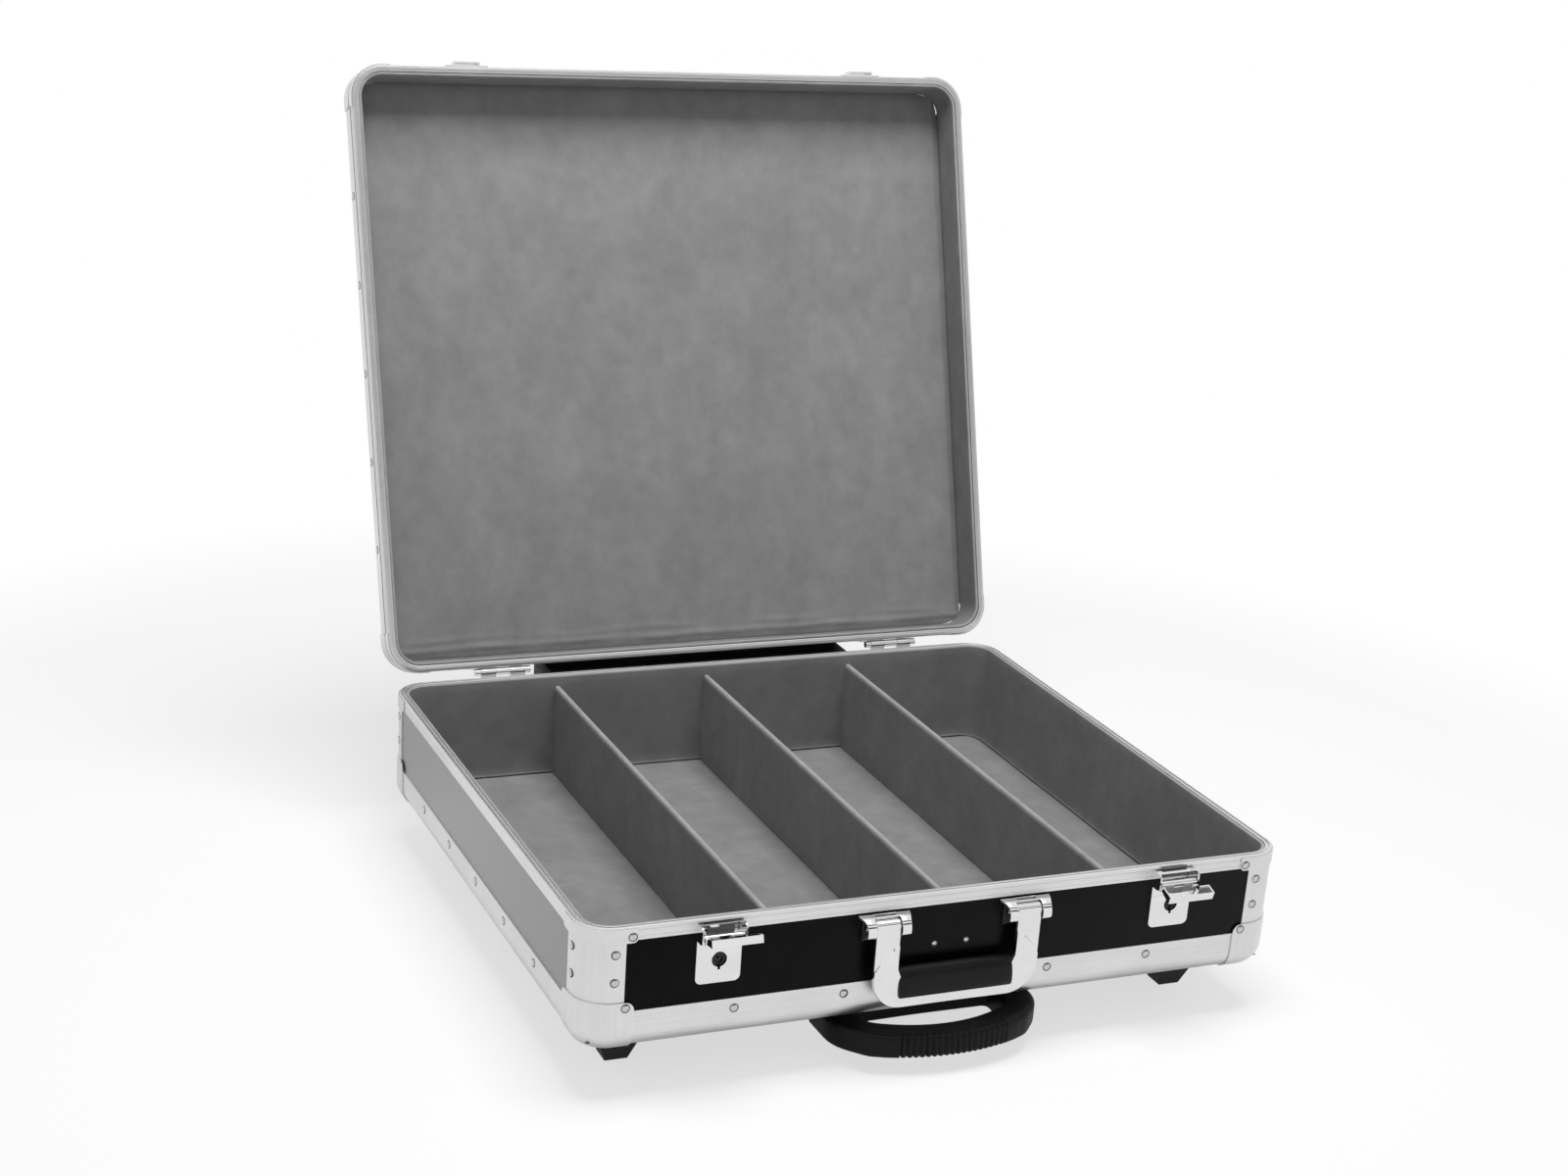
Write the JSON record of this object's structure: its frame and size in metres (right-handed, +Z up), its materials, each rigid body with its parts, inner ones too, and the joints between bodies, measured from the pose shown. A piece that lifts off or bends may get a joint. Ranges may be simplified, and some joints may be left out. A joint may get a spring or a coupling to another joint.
{
  "type": "cd storage case",
  "caption": "Aluminium-edged trolley case for compact discs: hinged lid, felt-lined rows, lever latches, folding carry handle, pull-out trolley handle and rear wheels.",
  "frame": {"origin": "on the floor under the middle of the opened case's bounding box", "axes": "+Z up, +X along the hinge line to the right seen from the front, +Y towards the hinges and wheels; latches and handles face -Y"},
  "size_m": [0.6144, 0.7848, 0.6821],
  "materials": {
    "satin_aluminium": "satin drawn aluminium with fine lengthwise lines",
    "black_board": "board with a smooth black laminate face",
    "grey_felt": "short grey velour on padding",
    "bright_chrome": "bright nickel-chrome plate",
    "rivet_steel": "domed bright rivet heads",
    "black_lock": "black lock insert",
    "handle_plastic": "smooth moulded black plastic",
    "trolley_plastic": "fine-grained moulded black plastic",
    "foot_rubber": "matt black rubber",
    "wheel_rubber": "black wheel with a smooth tread",
    "tube_steel": "drawn steel tube"
  },
  "bodies": {
    "base": {"base_rim": "satin_aluminium", "base_rim_clamps": "satin_aluminium", "base_front_panel": "black_board", "base_edge_front": "satin_aluminium", "base_back_panel": "black_board", "base_edge_back": "satin_aluminium", "base_left_panel": "black_board", "base_edge_left": "satin_aluminium", "base_right_panel": "black_board", "base_edge_right": "satin_aluminium", "base_bottom_panel": "black_board", "base_corner_profile_front_left": "satin_aluminium", "base_corner_profile_front_right": "satin_aluminium", "base_corner_profile_back_left": "satin_aluminium", "base_corner_profile_back_right": "satin_aluminium", "base_corner_caps": "satin_aluminium", "base_liner_floor": "grey_felt", "base_liner_walls": "grey_felt", "divider_1": "grey_felt", "divider_2": "grey_felt", "divider_3": "grey_felt", "feet": "foot_rubber", "hinge_base_leaf_left": "bright_chrome", "hinge_base_leaf_right": "bright_chrome", "hinge_pins": "bright_chrome", "latch_plate_left": "bright_chrome", "latch_plate_right": "bright_chrome", "handle_bracket_left": "bright_chrome", "handle_bracket_right": "bright_chrome", "handle_pins": "bright_chrome", "trolley_outer_tube_left": "tube_steel", "trolley_outer_tube_right": "tube_steel", "trolley_saddles": "trolley_plastic", "wheel_axles": "tube_steel", "wheel_housing": "trolley_plastic", "base_rivets": "rivet_steel"},
    "lid": {"lid_top_panel": "black_board", "lid_edge_profiles": "satin_aluminium", "lid_side_boards": "black_board", "lid_rim": "satin_aluminium", "lid_corner_fittings": "satin_aluminium", "lid_liner": "grey_felt", "hinge_lid_leaf_left": "bright_chrome", "hinge_lid_leaf_right": "bright_chrome", "latch_keeper_left": "bright_chrome", "latch_keeper_right": "bright_chrome", "lid_rivets": "rivet_steel"},
    "latch_lever_left": {"latch_lever_left": "bright_chrome"},
    "latch_lever_right": {"latch_lever_right": "bright_chrome"},
    "latch_bolt_left": {"latch_bolt_left": "bright_chrome"},
    "latch_bolt_right": {"latch_bolt_right": "bright_chrome"},
    "lock_barrel_left": {"lock_barrel_left": "black_lock"},
    "lock_barrel_right": {"lock_barrel_right": "black_lock"},
    "carry_handle": {"handle_frame": "bright_chrome", "handle_grip": "handle_plastic"},
    "trolley_handle": {"trolley_grip": "trolley_plastic", "trolley_inner_tube_left": "tube_steel", "trolley_inner_tube_right": "tube_steel"},
    "wheel_left": {"wheel_left": "wheel_rubber"},
    "wheel_right": {"wheel_right": "wheel_rubber"}
  },
  "joints": [
    {"name": "lid_hinge", "type": "hinge", "parent": "base", "child": "lid", "pos_m": [0, 0.18931, 0.1496], "axis": [1, 0, 0], "range_deg": [0, 107.6]},
    {"name": "latch_lever_left", "type": "hinge", "parent": "base", "child": "latch_lever_left", "pos_m": [-0.198, -0.37289, 0.1335], "axis": [1, 0, 0], "range_deg": [0, 103]},
    {"name": "latch_bolt_left", "type": "slide", "parent": "base", "child": "latch_bolt_left", "axis": [0, 0, 1], "range_m": [0, 0.01042]},
    {"name": "lock_barrel_left", "type": "hinge", "parent": "base", "child": "lock_barrel_left", "pos_m": [-0.198, -0.36389, 0.112], "axis": [0, -1, 0], "range_deg": [0, 90]},
    {"name": "latch_lever_right", "type": "hinge", "parent": "base", "child": "latch_lever_right", "pos_m": [0.198, -0.37289, 0.1335], "axis": [1, 0, 0], "range_deg": [-35, 68]},
    {"name": "latch_bolt_right", "type": "slide", "parent": "base", "child": "latch_bolt_right", "axis": [0, 0, 1], "range_m": [-0.00355, 0.00689]},
    {"name": "lock_barrel_right", "type": "hinge", "parent": "base", "child": "lock_barrel_right", "pos_m": [0.198, -0.36389, 0.112], "axis": [0, -1, 0], "range_deg": [0, 90]},
    {"name": "carry_handle_swing", "type": "hinge", "parent": "base", "child": "carry_handle", "pos_m": [0, -0.37189, 0.126], "axis": [-1, 0, 0], "range_deg": [0, 95]},
    {"name": "trolley_slide", "type": "slide", "parent": "base", "child": "trolley_handle", "axis": [0, -1, 0], "range_m": [0, 0.39]},
    {"name": "wheel_left_spin", "type": "hinge", "parent": "base", "child": "wheel_left", "pos_m": [-0.144, 0.21411, 0.034], "axis": [1, 0, 0], "continuous": true},
    {"name": "wheel_right_spin", "type": "hinge", "parent": "base", "child": "wheel_right", "pos_m": [0.144, 0.21411, 0.034], "axis": [1, 0, 0], "continuous": true}
  ],
  "couplings": [
    {"joint": "latch_bolt_left", "follows": "latch_lever_left", "m_per_rad": 0.0057852},
    {"joint": "latch_bolt_right", "follows": "latch_lever_right", "m_per_rad": 0.0057852}
  ]
}
